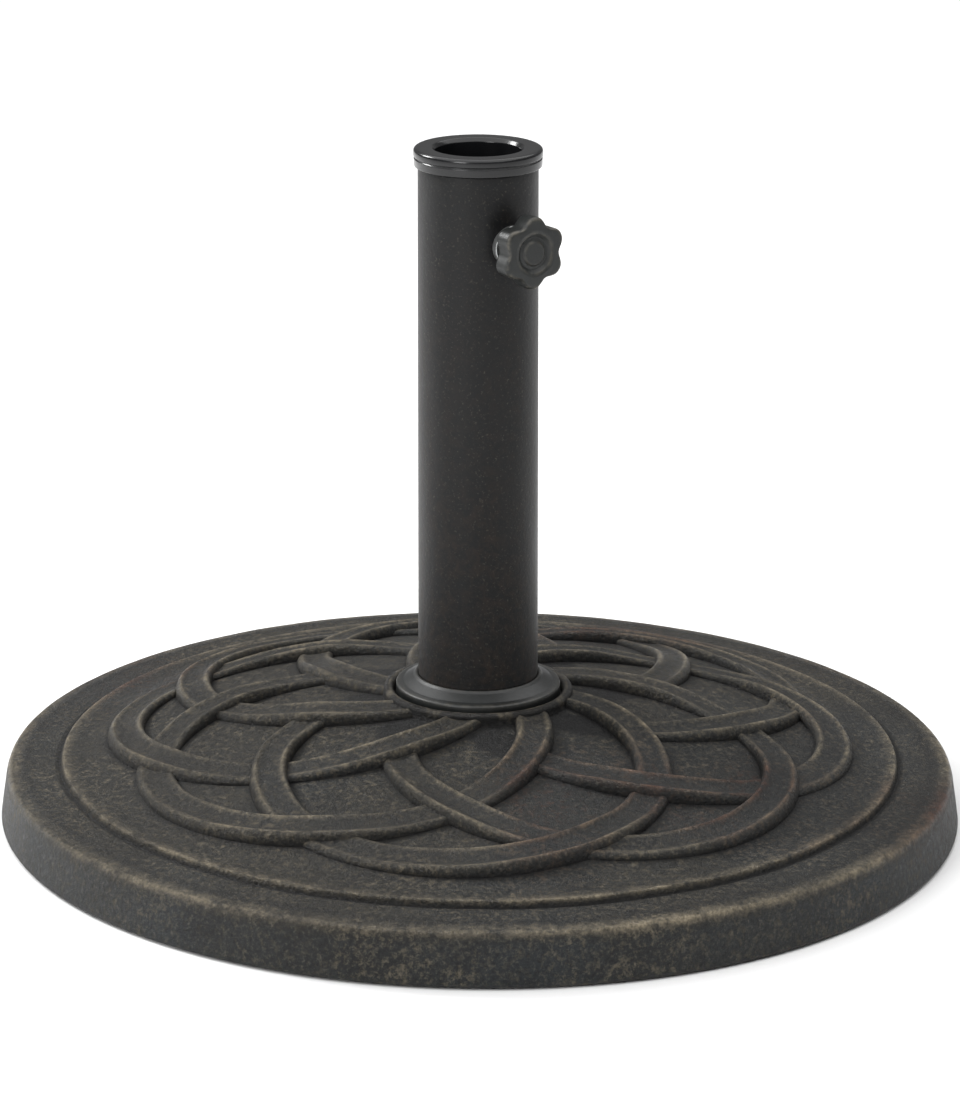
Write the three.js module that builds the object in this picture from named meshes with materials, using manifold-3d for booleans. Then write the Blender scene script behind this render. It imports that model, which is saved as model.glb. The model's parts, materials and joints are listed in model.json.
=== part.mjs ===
// A round cast parasol base with a steel socket tube, a top collar and a star-knob clamp screw.
// Millimetres, +Z up. The origin is on the ground, on the tube's axis. The pole drops in from above
// and the clamp screw, set in the tube wall, presses it against the far side.
import * as THREE from "three";
import { mergeVertices } from "three/addons/utils/BufferGeometryUtils.js";
import Module from "manifold-3d";

// ---- Driving dimensions -------------------------------------------------------------------------
const GAP = 0.3; // clearance kept between neighbouring pieces
const BASE_RADIUS = 228.5; // 18 inch slab, widest at its foot
const OVERALL_HEIGHT = 323; // ground to the top of the collar

// Slab
const FOOT_LIFT = 0.9; // how far the feet hold the slab off the ground
const RECESS_TOP = 7.5; // height of the hollowed underside
const RIM_INNER = 200; // inner edge of the foot ring under the slab
const WALL_TOP = { r: 225.7, z: 20.9 }; // top of the tapered side wall
const SHOULDER_END = { r: 217, z: 26.2 }; // where the rounded shoulder meets the flat outer band
const STEP_FOOT = { r: 200.2, z: 26.1 }; // groove at the foot of the step up to the middle of the slab
const STEP_TOP = { r: 198.6, z: 29.3 };
const DOME = { top: 58.7, fall: 28.6, edge: 185, power: 1.5 }; // height and fall of the domed field
const LIP = { mid: 43.1, half: 2.3, top: 60.6 }; // rounded lip round the cover ring
const SEAT_RADIUS = 39.9; // recess inside the lip
const SEAT_Z = 56;

// Interlaced relief: rings of one size whose centres stand round the tube
const STRANDS = 8;
const STRAND_RADIUS = 88.9; // radius of each ring's centreline
const STRAND_OFFSET = 80.8; // from the tube's axis to each ring's centre
const STRAND_TURN = -5.5; // degrees, direction of the first ring's centre
const STRAND_HALF_WIDTH = 9.6;
const STRAND_MEAN_RISE = 4.2; // height of a strand over the field, midway between crossings
const STRAND_WEAVE = 2.2; // how far it rises to pass over, or dips to pass under
const STRAND_STEPS = 20;

// Tube, its foot and the bolt that holds it to the slab
const TUBE = { outer: 28.5, inner: 27, bottom: 26.3, top: 314 };
const SOCKET_RADIUS = 29;
const FOOT_PLATE = { thick: 5, pocket: 0.5, pocketRadius: 12.2 }; // disc welded in the tube's foot
const BOLT_RADIUS = 6; // M12
const NUT = { flat: 19, height: 10 };
const BOLT_HEAD = { flat: 19, height: 7.5, bottom: 3 };
const SPRING_WASHER = { outer: 10.3, thick: 2.5, slit: 1.6 };
const FLAT_WASHER = { outer: 18, thick: 2 };
const COUNTERBORE = { r: 21.5, top: 16 };

// Cover ring, collar and feet
const COVER = { outer: 39.2, edgeTop: 62.7, hubTop: 67.2, hubWidth: 1.2 };
const COLLAR = { bore: 20.5, flange: 30.6, sleeveBottom: 290, round: 1.6, groove: 0.6, grooveTop: 319.6 };
const FEET = { count: 6, radius: 10, ringRadius: 213, pocket: 1.6 };

// Clamp: distances along its axis are measured from the tube's axis
const CLAMP = { height: 280.8, azimuth: -56 };
const SCREW = { radius: 5, outer: 44, shoulder: 21.3, neckRadius: 2.5, neckEnd: 19 }; // M10
const INSERT = { inner: 23.5, body: 6.75, flange: 10, face: 30 };
const KNOB = { back: 37.2, face: 47.6, lobes: 6, lobeTurn: -3.3, tip: 17.2, valley: 14.1, bevel: 1.6 };
const KNOB_HUB = { end: 33, radius: 8.5 };
const PAD = { face: 17, back: 21, radius: 4 };

const wasm = await Module();
wasm.setup();

// ---- Small tools --------------------------------------------------------------------------------
const radians = THREE.MathUtils.degToRad;

// A closed BufferGeometry as a solid that can be joined and cut.
function solidOf(geometry) {
  const bare = geometry.clone();
  bare.deleteAttribute("normal");
  bare.deleteAttribute("uv");
  const merged = mergeVertices(bare, 1e-4);
  return new wasm.Manifold(
    new wasm.Mesh({
      numProp: 3,
      vertProperties: new Float32Array(merged.attributes.position.array),
      triVerts: new Uint32Array(merged.index.array),
    }),
  );
}

// A solid back as a BufferGeometry.
function geometryOf(solid) {
  const mesh = solid.getMesh();
  const geometry = new THREE.BufferGeometry();
  geometry.setAttribute("position", new THREE.BufferAttribute(mesh.vertProperties, 3));
  geometry.setIndex(new THREE.BufferAttribute(mesh.triVerts, 1));
  geometry.computeVertexNormals();
  return geometry;
}

// Revolves a closed outline of [radius, height] pairs, given anticlockwise, about +Z.
function revolve(outline, segments) {
  const closed = [...outline, outline[0]].map(([r, z]) => new THREE.Vector2(r, z));
  return new THREE.LatheGeometry(closed, segments).rotateX(Math.PI / 2);
}

// A plain ring or tube between two radii and two heights.
function ring(inner, outer, bottom, top, segments) {
  const outline = [
    [inner, bottom],
    [outer, bottom],
    [outer, top],
    [inner, top],
  ];
  return revolve(outline, segments);
}

// A solid cylinder about +Z between two heights.
function rod(radius, bottom, top, segments = 32) {
  const height = top - bottom;
  return new THREE.CylinderGeometry(radius, radius, height, segments)
    .rotateX(Math.PI / 2)
    .translate(0, 0, bottom + height / 2);
}

// A hexagonal prism about +Z, sized across its flats.
function hexagon(acrossFlats, bottom, top) {
  return rod(acrossFlats / Math.sqrt(3), bottom, top, 6);
}

// Points of a circular arc as [radius, height] pairs, from one angle to another in degrees.
function arc(centreR, centreZ, radius, from, to, steps) {
  return Array.from({ length: steps + 1 }, (_, i) => {
    const a = radians(from + ((to - from) * i) / steps);
    return [centreR + radius * Math.cos(a), centreZ + radius * Math.sin(a)];
  });
}

function material(color, roughness, metalness) {
  return new THREE.MeshStandardMaterial({ color, roughness, metalness });
}

const castBronze = material(0x3a342c, 0.75, 0.15);
const coatedSteel = material(0x2b2a29, 0.6, 0.35);
const blackPlastic = material(0x101113, 0.35, 0);
const knobPlastic = material(0x232424, 0.55, 0);
const zincSteel = material(0x9a9c9e, 0.35, 0.9);
const nylon = material(0xd9d5c8, 0.5, 0);
const rubber = material(0x141414, 0.9, 0);

const part = new THREE.Group();

function add(name, geometry, finish, parent = part) {
  const mesh = new THREE.Mesh(geometry, finish);
  mesh.name = name;
  parent.add(mesh);
  return mesh;
}

// ---- Slab ---------------------------------------------------------------------------------------
// Height of the domed field at a distance from the axis.
function fieldHeight(r) {
  return DOME.top - DOME.fall * (r / DOME.edge) ** DOME.power;
}

function slabOutline() {
  const footRound = 1.6;
  const wall = arc(BASE_RADIUS - footRound, FOOT_LIFT + footRound, footRound, -90, 0, 2);
  const shoulder = new THREE.QuadraticBezierCurve(
    new THREE.Vector2(WALL_TOP.r, WALL_TOP.z),
    new THREE.Vector2(WALL_TOP.r - 1.1, SHOULDER_END.z - 0.4),
    new THREE.Vector2(SHOULDER_END.r, SHOULDER_END.z),
  );
  const fieldSteps = 6;
  const fieldInner = LIP.mid + LIP.half;
  const field = Array.from({ length: fieldSteps + 1 }, (_, i) => {
    const r = DOME.edge + ((fieldInner - DOME.edge) * i) / fieldSteps;
    return [r, fieldHeight(r)];
  });
  return [
    [BOLT_RADIUS + 1, COUNTERBORE.top],
    [COUNTERBORE.r, COUNTERBORE.top],
    [COUNTERBORE.r, RECESS_TOP],
    [RIM_INNER - 6, RECESS_TOP],
    [RIM_INNER, FOOT_LIFT],
    ...wall,
    ...shoulder.getPoints(3).map((p) => [p.x, p.y]),
    [STEP_FOOT.r + 2.4, STEP_FOOT.z + 0.7],
    [STEP_FOOT.r, STEP_FOOT.z],
    [STEP_TOP.r, STEP_TOP.z],
    ...field,
    ...arc(LIP.mid, LIP.top - LIP.half, LIP.half, 0, 180, 4),
    [SEAT_RADIUS, SEAT_Z],
    [SOCKET_RADIUS, SEAT_Z],
    [SOCKET_RADIUS, TUBE.bottom - GAP],
    [BOLT_RADIUS + 1, TUBE.bottom - GAP],
  ];
}

// Distance from the axis of the place where two rings cross whose centres stand turned by an angle.
function crossingRadius(apart) {
  const half = radians(apart / 2);
  const across = STRAND_OFFSET * Math.sin(half);
  return STRAND_OFFSET * Math.cos(half) + Math.sqrt(STRAND_RADIUS ** 2 - across ** 2);
}

// The angle round a ring, from its outermost point, at which that crossing lies.
function crossingAngle(apart) {
  const across = crossingRadius(apart) * Math.sin(radians(apart / 2));
  const along = crossingRadius(apart) * Math.cos(radians(apart / 2)) - STRAND_OFFSET;
  return Math.atan2(across, along);
}

// The crossings in order along a strand: it starts over, then goes under, over, under, over, under.
const SPACING = 360 / STRANDS;
const OUTWARD = [3, 2, 1].map((n) => crossingAngle(n * SPACING));
const CROSSINGS = [...OUTWARD, ...OUTWARD.map((a) => -a).reverse()];

// The weave's height along a strand, from +1 where it passes over to -1 where it passes under.
function weave(angle) {
  const last = CROSSINGS.length - 1;
  const found = CROSSINGS.findIndex((a) => angle >= a);
  const next = found === -1 ? last : Math.max(found, 1);
  const share = (CROSSINGS[next - 1] - angle) / (CROSSINGS[next - 1] - CROSSINGS[next]);
  return Math.cos(Math.PI * (next - 1 + share));
}

// A strand's centreline: round its ring from the lip, out towards the rim and back to its last crossing.
class Strand extends THREE.Curve {
  getPoint(t, target = new THREE.Vector3()) {
    const start = Math.acos(
      ((LIP.mid - 1) ** 2 - STRAND_OFFSET ** 2 - STRAND_RADIUS ** 2) / (2 * STRAND_OFFSET * STRAND_RADIUS),
    );
    const end = CROSSINGS[CROSSINGS.length - 1];
    const angle = start + (end - start) * t;
    const x = STRAND_OFFSET + STRAND_RADIUS * Math.cos(angle);
    const y = STRAND_RADIUS * Math.sin(angle);
    const z = fieldHeight(Math.hypot(x, y)) + STRAND_MEAN_RISE + STRAND_WEAVE * weave(angle);
    return target.set(x, y, z);
  }
}

// The strand's section: a band with a raised bead along each edge. x is depth and y is across.
function strandSection() {
  const w = STRAND_HALF_WIDTH;
  const section = new THREE.Shape();
  section.moveTo(9, -w);
  section.lineTo(9, w);
  section.lineTo(1.6, w);
  section.lineTo(0, w - 2.6);
  section.lineTo(1.3, 0);
  section.lineTo(0, 2.6 - w);
  section.lineTo(1.6, -w);
  return section;
}

function slab() {
  let body = solidOf(revolve(slabOutline(), 64));
  const band = solidOf(
    new THREE.ExtrudeGeometry(strandSection(), { steps: STRAND_STEPS, extrudePath: new Strand() }),
  );
  for (let i = 0; i < STRANDS; i++) {
    body = body.add(band.rotate([0, 0, STRAND_TURN + i * SPACING]));
  }
  const seat = ring(SOCKET_RADIUS - 5, SEAT_RADIUS, SEAT_Z, OVERALL_HEIGHT, 64);
  body = body.subtract(solidOf(seat));
  for (const [x, y] of footPlaces()) {
    const pocket = rod(FEET.radius + GAP, -1, FOOT_LIFT + FEET.pocket, 24).translate(x, y, 0);
    body = body.subtract(solidOf(pocket));
  }
  return geometryOf(body);
}

function footPlaces() {
  return Array.from({ length: FEET.count }, (_, i) => {
    const a = (2 * Math.PI * (i + 0.5)) / FEET.count;
    return [FEET.ringRadius * Math.cos(a), FEET.ringRadius * Math.sin(a)];
  });
}

add("base_slab", slab(), castBronze);

footPlaces().forEach(([x, y], i) => {
  const top = FOOT_LIFT + FEET.pocket - GAP;
  const foot = revolve([[0, 0], [FEET.radius - 1, 0], [FEET.radius, 1], [FEET.radius, top], [0, top]], 24);
  add(`rubber_foot_${i + 1}`, foot.translate(x, y, 0), rubber);
});

// ---- Tube and its fixing ------------------------------------------------------------------------
// The clamp's own frame: +Z runs outwards along the screw.
function clampFrame() {
  const frame = new THREE.Group();
  frame.position.set(0, 0, CLAMP.height);
  frame.rotation.set(0, Math.PI / 2, radians(CLAMP.azimuth), "ZYX");
  frame.updateMatrix();
  return frame;
}

function tube() {
  const wall = solidOf(ring(TUBE.inner, TUBE.outer, TUBE.bottom, TUBE.top, 64));
  const hole = rod(INSERT.body + GAP, 10, 40, 24).applyMatrix4(clampFrame().matrix);
  return geometryOf(wall.subtract(solidOf(hole)));
}

add("socket_tube", tube(), coatedSteel);

// The plate's upper face is a ring that the pole's end rests on, round a shallow pocket for the nut.
const plateTop = TUBE.bottom + FOOT_PLATE.thick;
const pocketFloor = plateTop - FOOT_PLATE.pocket;
const nutBottom = pocketFloor + GAP;
const nutTop = nutBottom + NUT.height;
const boltClear = BOLT_RADIUS + GAP;
const plate = revolve(
  [
    [boltClear, TUBE.bottom],
    [TUBE.inner - GAP, TUBE.bottom],
    [TUBE.inner - GAP, plateTop],
    [FOOT_PLATE.pocketRadius, plateTop],
    [FOOT_PLATE.pocketRadius, pocketFloor],
    [boltClear, pocketFloor],
  ],
  48,
);
add("tube_foot_plate", plate, zincSteel);

const nut = solidOf(hexagon(NUT.flat, nutBottom, nutTop));
const nutHole = rod(boltClear, nutBottom - 1, nutTop + 1, 32);
add("weld_nut", geometryOf(nut.subtract(solidOf(nutHole))), zincSteel);

const headTop = BOLT_HEAD.bottom + BOLT_HEAD.height;
const boltHead = solidOf(hexagon(BOLT_HEAD.flat, BOLT_HEAD.bottom, headTop));
const boltShank = solidOf(rod(BOLT_RADIUS, headTop - 1, nutTop + 2, 32));
add("fixing_bolt", geometryOf(boltHead.add(boltShank)), zincSteel);

const springBottom = headTop + GAP;
const springTop = springBottom + SPRING_WASHER.thick - GAP;
const springRing = solidOf(ring(boltClear, SPRING_WASHER.outer, springBottom, springTop, 48));
const slit = new THREE.BoxGeometry(SPRING_WASHER.outer + 2, SPRING_WASHER.slit, 10);
slit.translate(SPRING_WASHER.outer / 2 + 1, 0, springBottom);
add("spring_washer", geometryOf(springRing.subtract(solidOf(slit))), zincSteel);

const washerTop = COUNTERBORE.top - GAP;
const washer = ring(boltClear, FLAT_WASHER.outer, washerTop - FLAT_WASHER.thick, washerTop, 48);
add("flat_washer", washer, zincSteel);

// ---- Cover ring and top collar ------------------------------------------------------------------
// A conical ring that hides the joint between the tube and the slab.
const coverInner = TUBE.outer + GAP;
const cover = revolve(
  [
    [coverInner, SEAT_Z + GAP],
    [COVER.outer, SEAT_Z + GAP],
    [COVER.outer, COVER.edgeTop - 1],
    [COVER.outer - 1, COVER.edgeTop],
    [coverInner + COVER.hubWidth, COVER.hubTop],
    [coverInner, COVER.hubTop],
  ],
  64,
);
add("cover_ring", cover, coatedSteel);

// A plastic collar: its sleeve is pushed into the tube and its flange rests on the tube's end.
function collar() {
  const sleeve = TUBE.inner - GAP;
  const under = TUBE.top + GAP;
  const { bore, flange, sleeveBottom, round, groove, grooveTop } = COLLAR;
  return revolve(
    [
      [bore, sleeveBottom],
      [sleeve - 1, sleeveBottom],
      [sleeve, sleeveBottom + 2],
      [sleeve, under],
      [flange - 0.5, under],
      [flange - 0.3, grooveTop - 1.2],
      [flange - groove - 0.3, grooveTop - 0.6],
      [flange, grooveTop],
      ...arc(flange - round, OVERALL_HEIGHT - round, round, 0, 90, 2),
      [bore + 1.5, OVERALL_HEIGHT],
      [bore, OVERALL_HEIGHT - 1.5],
    ],
    64,
  );
}

add("top_collar", collar(), blackPlastic);

// ---- Clamp --------------------------------------------------------------------------------------
const clamp = clampFrame();
part.add(clamp);

// A flanged threaded insert in the tube wall, its flange curved to sit on the tube.
function threadedInsert() {
  const body = solidOf(rod(INSERT.body, INSERT.inner, INSERT.face, 32));
  const flange = solidOf(rod(INSERT.flange, 20, INSERT.face, 32));
  const tubeOuter = new THREE.CylinderGeometry(TUBE.outer + GAP, TUBE.outer + GAP, 60, 64);
  const saddle = solidOf(tubeOuter.rotateZ(Math.PI / 2));
  const hole = solidOf(rod(SCREW.radius + GAP, 10, 40, 32));
  return geometryOf(flange.subtract(saddle).add(body).subtract(hole));
}

add("threaded_insert", threadedInsert(), zincSteel, clamp);

// The star knob's outline: its radius swings between the lobes and the valleys.
function knobOutline() {
  const points = [];
  const perLobe = 9;
  const turns = KNOB.lobes * perLobe;
  for (let i = 0; i < turns; i++) {
    const a = (2 * Math.PI * i) / turns;
    const swing = 0.5 + 0.5 * Math.cos(KNOB.lobes * a);
    const r = KNOB.valley + (KNOB.tip - KNOB.valley) * swing - KNOB.bevel;
    points.push(new THREE.Vector2(r * Math.cos(a), r * Math.sin(a)));
  }
  return new THREE.Shape(points);
}

function starKnob() {
  const depth = KNOB.face - KNOB.back - 2 * KNOB.bevel;
  const head = new THREE.ExtrudeGeometry(knobOutline(), {
    depth,
    bevelThickness: KNOB.bevel,
    bevelSize: KNOB.bevel,
    bevelSegments: 2,
  }).translate(0, 0, KNOB.back + KNOB.bevel);
  const hub = rod(KNOB_HUB.radius, KNOB_HUB.end, KNOB.back + 1, 32);
  const socket = rod(SCREW.radius + GAP, KNOB_HUB.end - 1, SCREW.outer + GAP, 32);
  const knob = solidOf(head).add(solidOf(hub)).subtract(solidOf(socket));
  return geometryOf(knob.rotate([0, 0, KNOB.lobeTurn]));
}

add("star_knob", starKnob(), knobPlastic, clamp);

// The screw, with a thin neck that turns inside the pad.
const screw = revolve(
  [
    [0, SCREW.neckEnd],
    [SCREW.neckRadius, SCREW.neckEnd],
    [SCREW.neckRadius, SCREW.shoulder],
    [SCREW.radius, SCREW.shoulder],
    [SCREW.radius, SCREW.outer],
    [0, SCREW.outer],
  ],
  32,
);
add("clamp_screw", screw, zincSteel, clamp);

// The pad that the screw presses against the pole, a small cup on the screw's neck.
const padBore = SCREW.neckRadius + GAP;
const padFloor = SCREW.neckEnd - GAP;
const pad = revolve(
  [
    [0, PAD.face],
    [PAD.radius - 0.8, PAD.face],
    [PAD.radius, PAD.face + 0.8],
    [PAD.radius, PAD.back],
    [padBore, PAD.back],
    [padBore, padFloor],
    [0, padFloor],
  ],
  32,
);
add("pressure_pad", pad, nylon, clamp);

export default part;
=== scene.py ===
import json
import math

import bpy
import numpy as np
from bpy.props import FloatProperty, FloatVectorProperty, IntProperty, PointerProperty
from mathutils import Matrix, Vector


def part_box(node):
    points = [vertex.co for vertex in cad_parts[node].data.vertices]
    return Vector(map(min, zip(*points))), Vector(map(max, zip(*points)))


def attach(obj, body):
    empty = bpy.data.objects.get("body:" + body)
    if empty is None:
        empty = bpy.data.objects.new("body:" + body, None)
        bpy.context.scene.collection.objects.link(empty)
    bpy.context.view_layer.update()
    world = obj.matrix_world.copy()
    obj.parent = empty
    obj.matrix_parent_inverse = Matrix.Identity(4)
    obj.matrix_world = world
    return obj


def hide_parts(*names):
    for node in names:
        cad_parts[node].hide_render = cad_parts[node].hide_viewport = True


bl_info = {
    "name": "Parasol Base",
    "version": (1, 0, 0),
    "blender": (4, 5, 0),
    "location": "3D View > Sidebar > Parasol Base",
    "description": "Builds the fine surfaces and finishes of a cast parasol base around its packed frame",
    "category": "Add Mesh",
}

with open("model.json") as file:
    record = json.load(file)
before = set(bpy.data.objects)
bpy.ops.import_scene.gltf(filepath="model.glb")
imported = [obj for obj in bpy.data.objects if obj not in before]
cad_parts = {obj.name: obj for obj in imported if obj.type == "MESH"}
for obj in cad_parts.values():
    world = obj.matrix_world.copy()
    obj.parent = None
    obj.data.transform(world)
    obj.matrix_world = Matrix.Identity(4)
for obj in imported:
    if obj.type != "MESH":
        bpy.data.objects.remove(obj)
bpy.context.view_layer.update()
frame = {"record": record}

MM = 0.001
BODY_OF = {node: body for body, nodes in frame["record"]["behaviour"]["bodies"].items() for node in nodes}
KNOB_JOINT = next(j for j in frame["record"]["behaviour"]["joints"] if j["name"] == "knob_turn")


def reach(node, axis):
    """The highest coordinate of a CAD node along one axis, in millimetres."""
    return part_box(node)[1][axis] / MM


def foot(node, axis):
    """The lowest coordinate of a CAD node along one axis, in millimetres."""
    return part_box(node)[0][axis] / MM


# ---------------------------------------------------------------------------------------------
# Sizes and colours
# ---------------------------------------------------------------------------------------------
def size(name, default, description):
    """A length in metres, given here in millimetres."""
    return FloatProperty(name=name, description=description, default=default * MM, unit="LENGTH", precision=4)


def colour(name, default, description):
    """A linear colour."""
    return FloatVectorProperty(
        name=name, description=description, default=default, subtype="COLOR", size=3, min=0.0, max=1.0
    )


class SlabSizes(bpy.types.PropertyGroup):
    radius: size("Radius", reach("base_slab", 0), "Radius of the slab at its foot")
    foot_lift: size("Foot lift", foot("base_slab", 2), "Height of the slab's foot ring over the ground")
    recess: size("Recess", 7.5, "Height of the hollowed underside")
    wall_top: size("Wall top", 20.9, "Height at which the tapered wall rounds into the shoulder")
    outer_band: size("Outer band", 26.2, "Height of the flat outer band")
    step: size("Step", 198.8, "Radius of the step up from the outer band to the middle")
    step_top: size("Step height", 29.3, "Height of that step's upper edge")
    field_edge: size("Field edge", 185.0, "Outer radius of the domed field")
    dome_top: size("Dome top", 58.7, "Height that the dome would have on the tube's axis")
    dome_fall: size("Dome fall", 28.6, "Fall of the dome from there to the field's edge")
    lip_mid: size("Lip radius", 43.1, "Radius of the rounded lip round the cover ring")
    lip_half: size("Lip half width", 2.3, "Half the width of that lip")
    lip_top: size("Lip top", 60.6, "Height of that lip")
    around: IntProperty(name="Around", description="Faces round the slab", default=640, min=64)


class RingSizes(bpy.types.PropertyGroup):
    count: IntProperty(name="Rings", description="Number of interlaced rings", default=8, min=3)
    radius: size("Ring radius", 88.9, "Radius of each ring's centreline")
    offset: size("Ring offset", 80.8, "Distance from the tube's axis to each ring's centre")
    turn: FloatProperty(
        name="Turn",
        description="Direction of the first ring's centre",
        default=math.radians(-5.5),
        subtype="ANGLE",
    )
    half_width: size("Half width", 8.9, "Half the width of a ring's band")
    crest: size("Crest", 6.1, "Distance of each rounded bead from the band's middle")
    rise: size("Rise", 4.4, "Mean height of the beads over the field")
    weave: size("Weave", 1.7, "How far a band rises to pass over or dips to pass under")
    trough: size("Trough", 1.7, "Depth of the hollow between the beads")
    step: size("Step", 1.1, "Length of the faces along a band")


class TubeSizes(bpy.types.PropertyGroup):
    outer: size("Outer radius", reach("socket_tube", 0), "Outer radius of the tube")
    wall: size("Wall", 1.5, "Thickness of the tube's wall")
    screw: size("Screw radius", 5.0, "Outer radius of the clamp screw's thread")
    bolt: size("Bolt radius", 6.0, "Outer radius of the fixing bolt's thread")
    pitch: size("Screw pitch", 1.5, "Distance between the clamp screw's threads")
    bolt_pitch: size("Bolt pitch", 1.75, "Distance between the fixing bolt's threads")


class Finishes(bpy.types.PropertyGroup):
    cast: colour("Cast", (0.0150, 0.0138, 0.0108), "Ground colour of the cast slab")
    # Also the colour of the painted shade in the slab's grooves and at the feet of the bands.
    cast_dark: colour("Cast dark", (0.0025, 0.0025, 0.0028), "Hollows and pits of the slab")
    cast_cool: colour("Cast cool", (0.0150, 0.0185, 0.0210), "Cool patches on the slab")
    cast_pale: colour("Cast pale", (0.095, 0.085, 0.066), "Pale grains in the slab")
    bronze: colour("Bronze", (0.30, 0.25, 0.17), "Rubbed edges of the slab")
    rust: colour("Red bronze", (0.105, 0.045, 0.026), "Reddish tint in the rubbed edges")
    coat: colour("Coat", (0.0062, 0.0065, 0.0070), "Powder coat of the tube")
    coat_warm: colour("Coat warm", (0.0200, 0.0145, 0.0112), "Brown mottling of the tube")
    black: colour("Black", (0.006, 0.0063, 0.007), "Collar plastic")
    cover: colour("Cover", (0.0070, 0.0082, 0.0080), "Cover ring plastic")
    knob: colour("Knob", (0.011, 0.0125, 0.012), "Knob plastic")
    zinc: colour("Zinc", (0.45, 0.46, 0.47), "Zinc plating")
    nylon: colour("Nylon", (0.60, 0.56, 0.47), "Pressure pad")
    rubber: colour("Rubber", (0.012, 0.012, 0.012), "Feet")


def sizes(group):
    """A property group's lengths as plain numbers in millimetres, and its other values as they are."""
    values = {}
    for key, prop in type(group).bl_rna.properties.items():
        if key in ("rna_type", "name"):
            continue
        value = getattr(group, key)
        values[key] = value / MM if prop.unit == "LENGTH" else value
    return type("Sizes", (), values)


# ---------------------------------------------------------------------------------------------
# Surfaces
# ---------------------------------------------------------------------------------------------
def outline(corners, closed=True, step=2.0, arc_steps=6):
    """A line through corners (r, z, rounding). Each rounded corner becomes the arc that touches both its
    sides, and a straight stretch is divided into pieces no longer than step."""
    corners = [tuple(c) + (0.0,) * (3 - len(c)) for c in corners]
    count = len(corners)
    runs = []
    for i, (r, z, rounding) in enumerate(corners):
        here = np.array([r, z])
        ends = not closed and i in (0, count - 1)
        if rounding == 0 or ends:
            runs.append(here[None])
            continue
        before = np.array(corners[i - 1][:2]) - here
        after = np.array(corners[(i + 1) % count][:2]) - here
        before = before / np.linalg.norm(before)
        after = after / np.linalg.norm(after)
        half = math.acos(np.clip(before @ after, -1, 1)) / 2
        middle = (before + after) / np.linalg.norm(before + after)
        centre = here + middle * rounding / math.sin(half)
        first = here + before * rounding / math.tan(half) - centre
        last = here + after * rounding / math.tan(half) - centre
        sweep = math.pi - 2 * half
        share = np.linspace(0, 1, arc_steps + 1)[:, None]
        arc = (np.sin((1 - share) * sweep) * first + np.sin(share * sweep) * last) / math.sin(sweep)
        runs.append(centre + arc)
    line = np.concatenate(runs)
    following = np.roll(line, -1, axis=0) if closed else line[1:]
    divided = []
    for start, end in zip(line, following):
        pieces = max(1, math.ceil(np.linalg.norm(end - start) / step))
        divided.append(start + (end - start) * np.linspace(0, 1, pieces, endpoint=False)[:, None])
    if not closed:
        divided.append(line[-1:])
    return np.concatenate(divided)


def skin(name, grid, caps=None, marks=None, sharp=math.radians(35)):
    """A closed surface over a grid of points in millimetres. The columns run round in a ring. Without caps
    the rows close in a ring too; with caps, two points, fans close the first and the last row. marks are
    numbers for each point of the grid, kept as attributes that the finishes read."""
    rows, columns = grid.shape[:2]
    index = np.arange(rows * columns).reshape(rows, columns)
    near = index if caps is None else index[:-1]
    far = np.roll(index, -1, axis=0) if caps is None else index[1:]
    quads = np.stack([near, np.roll(near, -1, 1), np.roll(far, -1, 1), far], -1).reshape(-1, 4)
    points = grid.reshape(-1, 3)
    faces = quads.tolist()
    if caps is not None:
        points = np.concatenate([points, np.array(caps, float)])
        start, end = rows * columns, rows * columns + 1
        first, last = index[0], index[-1]
        faces += np.stack([np.roll(first, -1), first, np.full(columns, start)], -1).tolist()
        faces += np.stack([last, np.roll(last, -1), np.full(columns, end)], -1).tolist()
    a, b, c, d = (points[quads[:, k]] for k in range(4))
    volume = np.sum(np.cross(a, b) * c) + np.sum(np.cross(a, c) * d)
    if caps is not None:
        fans = np.array(faces[len(quads):])
        a, b, c = (points[fans[:, k]] for k in range(3))
        volume += np.sum(np.cross(a, b) * c)
    if volume < 0:
        faces = [face[::-1] for face in faces]
    mesh = bpy.data.meshes.new(name)
    mesh.from_pydata((points * MM).tolist(), [], faces)
    for key, values in (marks or {}).items():
        values = np.asarray(values, float).reshape(-1)
        values = np.concatenate([values, np.zeros(len(points) - len(values))])
        mesh.attributes.new(key, "FLOAT", "POINT").data.foreach_set("value", values)
    mesh.shade_smooth()
    mesh.set_sharp_from_angle(angle=sharp)
    piece = bpy.data.objects.new(name, mesh)
    bpy.context.scene.collection.objects.link(piece)
    return piece


def lathe(name, line, around=192, shape=None, place=None, mark=None, sharp=math.radians(35)):
    """Turns a line (r, z) about +Z: a point at angle a is (r cos a, r sin a, z). shape(r, a, z) may change
    r and z first, place(points) then carries the points to another axis, and mark(r, a, z) gives each
    point's marks. A line that starts and ends on the axis gets a point there in place of a row."""
    poled = line[0, 0] < 1e-6 and line[-1, 0] < 1e-6
    body = line[1:-1] if poled else line
    angle = np.linspace(0, 2 * math.pi, around, endpoint=False)
    r, a = np.meshgrid(body[:, 0], angle, indexing="ij")
    z = np.broadcast_to(body[:, 1:2], r.shape)
    marks = mark(r, a, z) if mark else None
    if shape:
        r, z = shape(r, a, z)
    place = place or (lambda points: points)
    grid = place(np.stack([r * np.cos(a), r * np.sin(a), z], -1))
    caps = None
    if poled:
        caps = place(np.array([[0, 0, line[0, 1]], [0, 0, line[-1, 1]]]))
    return skin(name, grid, caps, marks, sharp)


def hexagon(across):
    """Cuts a turned shape to a hexagon: the radius is the smaller of its own and the hexagon's, which at
    angle a is half the width across flats over the cosine of the angle to the nearest flat's middle."""

    def shape(r, a, z):
        to_flat = np.mod(a + math.pi / 6, math.pi / 3) - math.pi / 6
        return np.minimum(r, across / 2 / np.cos(to_flat)), z

    return shape


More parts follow.
